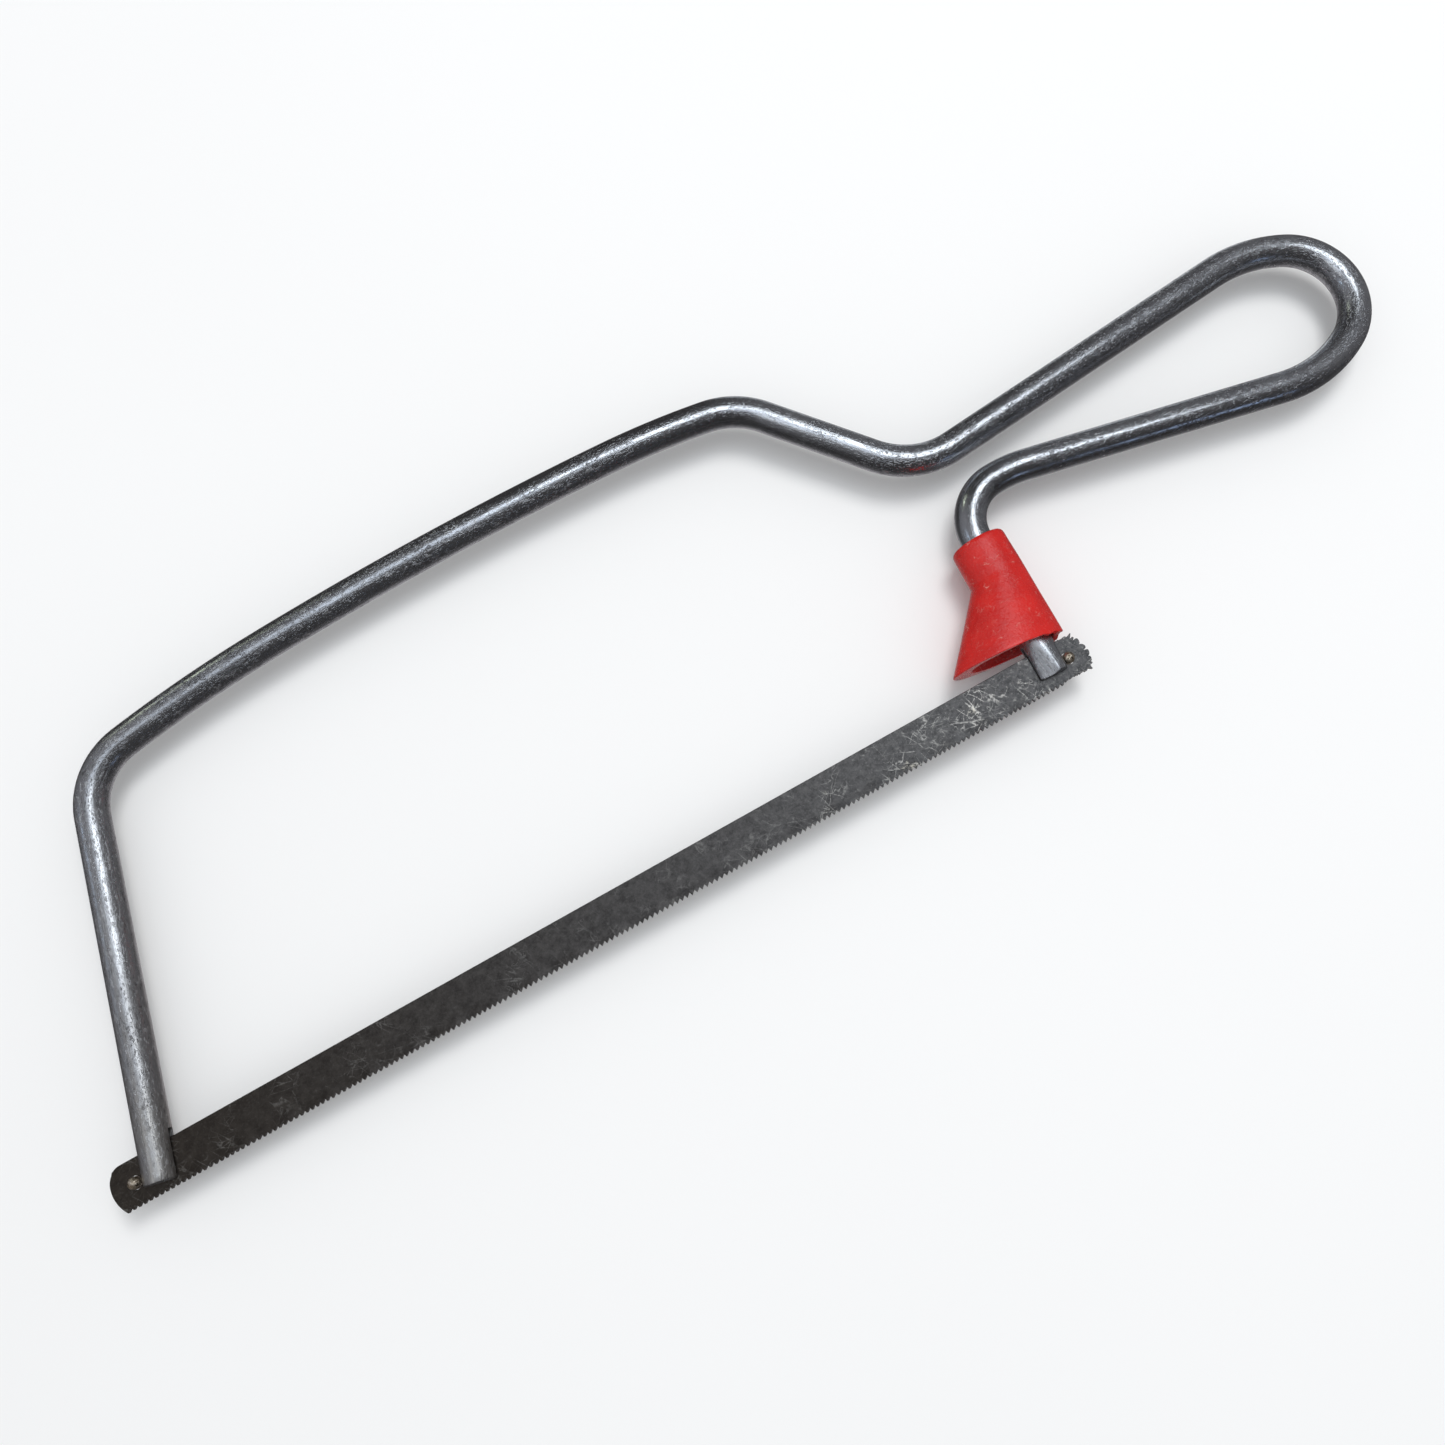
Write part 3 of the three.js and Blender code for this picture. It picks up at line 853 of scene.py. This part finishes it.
def red_plastic():
    """Satin red moulding with a grained skin, scuffed pale where it is handled."""
    s = Shader("red_plastic")
    place = s.place()
    cloud = s.noise(place, 0.22, detail=3)
    peel = s.noise(place, 1.9, detail=4, rough=0.7)
    fine = s.noise(place, 3.0, detail=2)
    scuffs = s.noise(s.stretch(place, (1.0, 0.5, 0.8)), 1.7, detail=6, rough=0.8, warp=0.8)
    rubs = s.math("MULTIPLY", s.fit(scuffs, 0.57, 0.70), 0.28)
    marks = s.hairlines(s.stretch(place, (1, 1.3, 1)), 0.9, 0.014, 12.0)
    marks = s.math("MULTIPLY", marks, s.fit(s.noise(place, 0.5, detail=3), 0.56, 0.62))
    nicks = s.fit(s.noise(place, 1.1, detail=5, rough=0.85, warp=0.8), 0.67, 0.70)
    pale = s.math("MAXIMUM", nicks, s.math("MULTIPLY", marks, 0.45))
    base = s.mix(s.fit(cloud, 0.35, 0.65), (0.50, 0.008, 0.006, 1), (0.62, 0.013, 0.009, 1))
    rubbed = s.mix(rubs, base, (0.80, 0.12, 0.10, 1))
    colour = s.mix(pale, rubbed, (0.90, 0.46, 0.40, 1))
    rough = s.math("ADD", s.fit(peel, 0.3, 0.7, 0.20, 0.30), s.math("MULTIPLY", rubs, 0.15))
    lowest = GUARD_LOW.y / MM
    above_rim = s.fit(s.axis(place, "Y"), lowest + 0.5, lowest + 1.6, 0.1, 1.0)
    skin = s.bump(peel, 0.13 * MM, s.math("MULTIPLY", above_rim, 0.8))
    grain = s.bump(fine, 0.05 * MM, s.math("MULTIPLY", above_rim, 0.7), under=skin)
    normal = s.bump(s.math("SUBTRACT", 1.0, pale), 0.06 * MM, 0.8, under=grain)
    return s.finish(Base_Color=colour, Roughness=rough, Normal=normal, Specular_IOR_Level=0.9)


def pale_floor():
    s = Shader("pale_floor")
    place = s.place()
    tone = s.fit(s.noise(place, 0.004, detail=2), 0.3, 0.7)
    colour = s.mix(tone, (0.86, 0.86, 0.86, 1), (0.88, 0.88, 0.88, 1))
    return s.finish(Base_Color=colour, Roughness=0.9)


# ---- The set -------------------------------------------------------------------------------------

# What the plating mirrors: a dim room, by the height of the direction looked at, from straight down
# to straight up, and soft windows in it, each a direction, how wide it is in degrees, and its light.
ROOM_SHADES = [
    (0.0, 0.42),
    (0.05, 0.30),
    (0.13, 0.08),
    (0.44, 0.018),
    (0.52, 0.05),
    (0.6, 0.02),
    (0.9, 0.05),
    (1.0, 0.12),
]
WINDOWS = [
    ((0.28, -0.92, 0.26), 6, (0.45, 0.58, 0.85)),
    ((-0.80, 0.37, 0.47), 6, (0.85, 1.05, 1.30)),
    ((-0.33, 0.87, 0.36), 6, (1.55, 1.70, 1.30)),
    ((0.50, 0.71, -0.50), 15, (0.55, 0.58, 0.60)),
    ((0.95, 0.20, 0.25), 66, (0.095, 0.095, 0.10)),
    ((-0.85, 0.30, 0.50), 58, (0.145, 0.145, 0.155)),
    ((-0.49, -0.02, 0.87), 15, (0.62, 0.65, 0.66)),
]
SOFT_LIGHT = (0.66, 0.665, 0.67, 1)  # what everything else sees in place of the room

FLOOR_HALF = 3  # metres

CAMERA_PLACE = Vector((-24.70, -46.29, 174.4)) * MM
CAMERA_AIM = Vector((-9.02, -13.74, 5.5)) * MM
CAMERA_ROLL = math.radians(-3.65)
CAMERA_LENS = 29.9


def make_floor():
    corners = [(x * FLOOR_HALF, y * FLOOR_HALF, 0) for x, y in ((-1, -1), (1, -1), (1, 1), (-1, 1))]
    floor = mesh_object("floor", corners, [(0, 1, 2, 3)])
    floor.data.materials.append(pale_floor())
    floor.visible_glossy = False  # so that the plating mirrors the room


def make_light(name, place, size, power, colour, mirrored):
    """A softbox aimed at the saw: place in metres, size as (width, height)."""
    data = bpy.data.lights.new(name, "AREA")
    data.shape = "RECTANGLE"
    data.size, data.size_y = size
    data.energy = power
    data.color = colour
    lamp = bpy.data.objects.new(name, data)
    lamp.location = place
    lamp.rotation_mode = "QUATERNION"
    lamp.rotation_quaternion = (-Vector(place)).to_track_quat("-Z", "Y")
    lamp.visible_glossy = mirrored
    bpy.context.scene.collection.objects.link(lamp)


def mirrored_room(tree, look):
    """The room's shade by how high a direction points."""
    height = tree.nodes.new("ShaderNodeSeparateXYZ")
    tree.links.new(look, height.inputs[0])
    share = tree.nodes.new("ShaderNodeMapRange")
    share.inputs["From Min"].default_value = -1
    tree.links.new(height.outputs["Z"], share.inputs["Value"])
    shades = tree.nodes.new("ShaderNodeValToRGB")
    tree.links.new(share.outputs[0], shades.inputs[0])
    elements = shades.color_ramp.elements
    while len(elements) < len(ROOM_SHADES):
        elements.new(0.5)
    for element, (where, shade) in zip(elements, ROOM_SHADES):
        element.position = where
        element.color = (shade * 1.02, shade * 0.98, shade, 1)
    return shades.outputs["Color"]


def add_window(tree, look, room, direction, width, light):
    """The room with one more soft window in it."""
    facing = tree.nodes.new("ShaderNodeVectorMath")
    facing.operation = "DOT_PRODUCT"
    tree.links.new(look, facing.inputs[0])
    facing.inputs[1].default_value = Vector(direction).normalized()
    inside = tree.nodes.new("ShaderNodeMapRange")
    inside.interpolation_type = "SMOOTHSTEP"
    inside.inputs["From Min"].default_value = math.cos(math.radians(width))
    inside.inputs["From Max"].default_value = math.cos(math.radians(width * 0.4))
    tree.links.new(facing.outputs["Value"], inside.inputs["Value"])
    lit = tree.nodes.new("ShaderNodeVectorMath")
    lit.operation = "MULTIPLY_ADD"
    tree.links.new(inside.outputs[0], lit.inputs[0])
    lit.inputs[1].default_value = light
    tree.links.new(room, lit.inputs[2])
    return lit.outputs[0]


def make_world():
    """A room that the plating mirrors, and soft pale light from all round on everything else."""
    world = bpy.data.worlds.new("studio")
    bpy.context.scene.world = world
    world.use_nodes = True
    tree = world.node_tree
    look = tree.nodes.new("ShaderNodeTexCoord").outputs["Generated"]
    mirrored = mirrored_room(tree, look)
    for direction, width, light in WINDOWS:
        mirrored = add_window(tree, look, mirrored, direction, width, light)
    room = tree.nodes.new("ShaderNodeBackground")
    tree.links.new(mirrored, room.inputs["Color"])
    soft = tree.nodes["Background"]
    soft.inputs["Color"].default_value = SOFT_LIGHT
    path = tree.nodes.new("ShaderNodeLightPath")
    choose = tree.nodes.new("ShaderNodeMixShader")
    tree.links.new(path.outputs["Is Glossy Ray"], choose.inputs["Fac"])
    tree.links.new(soft.outputs[0], choose.inputs[1])
    tree.links.new(room.outputs[0], choose.inputs[2])
    tree.links.new(choose.outputs[0], tree.nodes["World Output"].inputs["Surface"])


def make_camera():
    data = bpy.data.cameras.new("camera")
    data.sensor_width = 36
    data.lens = CAMERA_LENS
    data.clip_start = 0.01
    camera = bpy.data.objects.new("camera", data)
    camera.location = CAMERA_PLACE
    camera.rotation_mode = "QUATERNION"
    facing = (CAMERA_AIM - CAMERA_PLACE).to_track_quat("-Z", "Y")
    camera.rotation_quaternion = facing @ Quaternion((0, 0, 1), CAMERA_ROLL)
    bpy.context.scene.collection.objects.link(camera)
    bpy.context.scene.camera = camera


# ---- Assembly ------------------------------------------------------------------------------------


def dress(piece, material, slot, *nodes):
    """Gives a piece its material, and has it stand for CAD nodes. The slot argument is not used."""
    piece.data.materials.clear()
    piece.data.materials.append(material)
    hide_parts(*nodes)


make_camera()
make_world()
make_floor()
make_light("main", (0.25, 0.11, 0.86), (0.44, 0.42), 1.25, (0.89, 0.95, 1.0), mirrored=True)
make_light("overhead", (-0.10, 0.05, 0.9), (0.42, 0.34), 0.40, (0.80, 0.89, 1.0), mirrored=True)
make_light("key", (0.30, 0.28, 0.85), (0.34, 0.34), 3.0, (1.0, 0.985, 0.965), mirrored=False)
bpy.context.scene.view_settings.view_transform = "Standard"

rod = make_rod()
dress(rod, plated_steel(), "plated_rod", "bow_front", "bow_rear")
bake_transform(rod)

blade = make_blade()
dress(blade, blade_steel(), "blade_steel", "blade")
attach(blade, "blade_unit")

pin_material = pin_steel()
PINS = [("pin_head_front", FRONT_PIN, "front_pin", 3), ("pin_head_rear", REAR_PIN, "rear_pin", 8)]
for name, centre, node, seed in PINS:
    pin = make_pin(name, centre, seed)
    dress(pin, pin_material, "pin_steel", node)
    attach(pin, "blade_unit")

guard = make_guard()
dress(guard, red_plastic(), "red_plastic", "finger_guard")
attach(guard, "guard")
